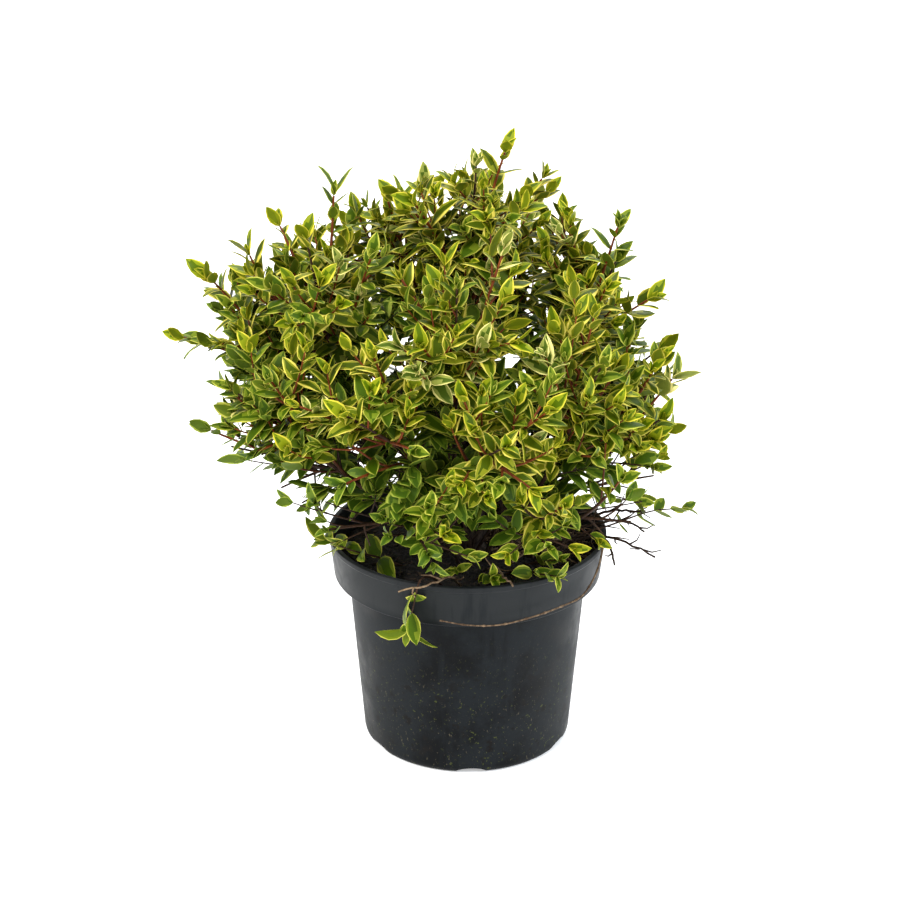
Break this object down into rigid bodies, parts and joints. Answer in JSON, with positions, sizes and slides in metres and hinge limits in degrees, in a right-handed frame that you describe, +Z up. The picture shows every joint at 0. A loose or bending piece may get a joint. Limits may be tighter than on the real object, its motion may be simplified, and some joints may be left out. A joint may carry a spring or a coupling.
{
  "type": "potted variegated glossy abelia shrub",
  "caption": "Bushy evergreen shrub with small cream-edged green leaves on red-brown shoots, standing in a round black plastic nursery pot of compost.",
  "frame": {"origin": "the middle of the pot's flat underside, on the surface that the pot stands on", "axes": "+Z up; -Y to the front of the plant, the side that the picture shows; +X to its right"},
  "size_m": [0.4349, 0.3896, 0.5288],
  "materials": {
    "pot_plastic": "satin",
    "compost": "matte",
    "bark": "matte",
    "foliage": "satin",
    "dead_wood": "matte"
  },
  "bodies": {
    "root": {"pot": "pot_plastic", "compost": "compost", "stool": "bark", "cane_1": "bark", "cane_2": "bark", "cane_3": "bark", "cane_4": "bark", "cane_5": "bark", "cane_6": "bark", "cane_7": "bark", "cane_8": "bark", "cane_9": "bark", "foliage_1_upper": "foliage", "foliage_1_left": "foliage", "foliage_1_right": "foliage", "foliage_2_upper": "foliage", "foliage_2_left": "foliage", "foliage_2_right": "foliage", "foliage_3_upper": "foliage", "foliage_3_left": "foliage", "foliage_3_right": "foliage", "foliage_4_upper": "foliage", "foliage_4_left": "foliage", "foliage_4_right": "foliage", "foliage_5_upper": "foliage", "foliage_5_left": "foliage", "foliage_5_right": "foliage", "foliage_6_upper": "foliage", "foliage_6_left": "foliage", "foliage_6_right": "foliage", "foliage_7_upper": "foliage", "foliage_7_left": "foliage", "foliage_7_right": "foliage", "foliage_8_upper": "foliage", "foliage_8_left": "foliage", "foliage_8_right": "foliage", "foliage_9_upper": "foliage", "foliage_9_left": "foliage", "foliage_9_right": "foliage", "low_spray_left": "foliage", "low_spray_front_left": "foliage", "low_spray_front": "foliage", "low_spray_front_right": "foliage", "low_spray_right": "foliage", "dead_twigs_right": "dead_wood", "dead_trailing_stem": "dead_wood"}
  },
  "joints": []
}
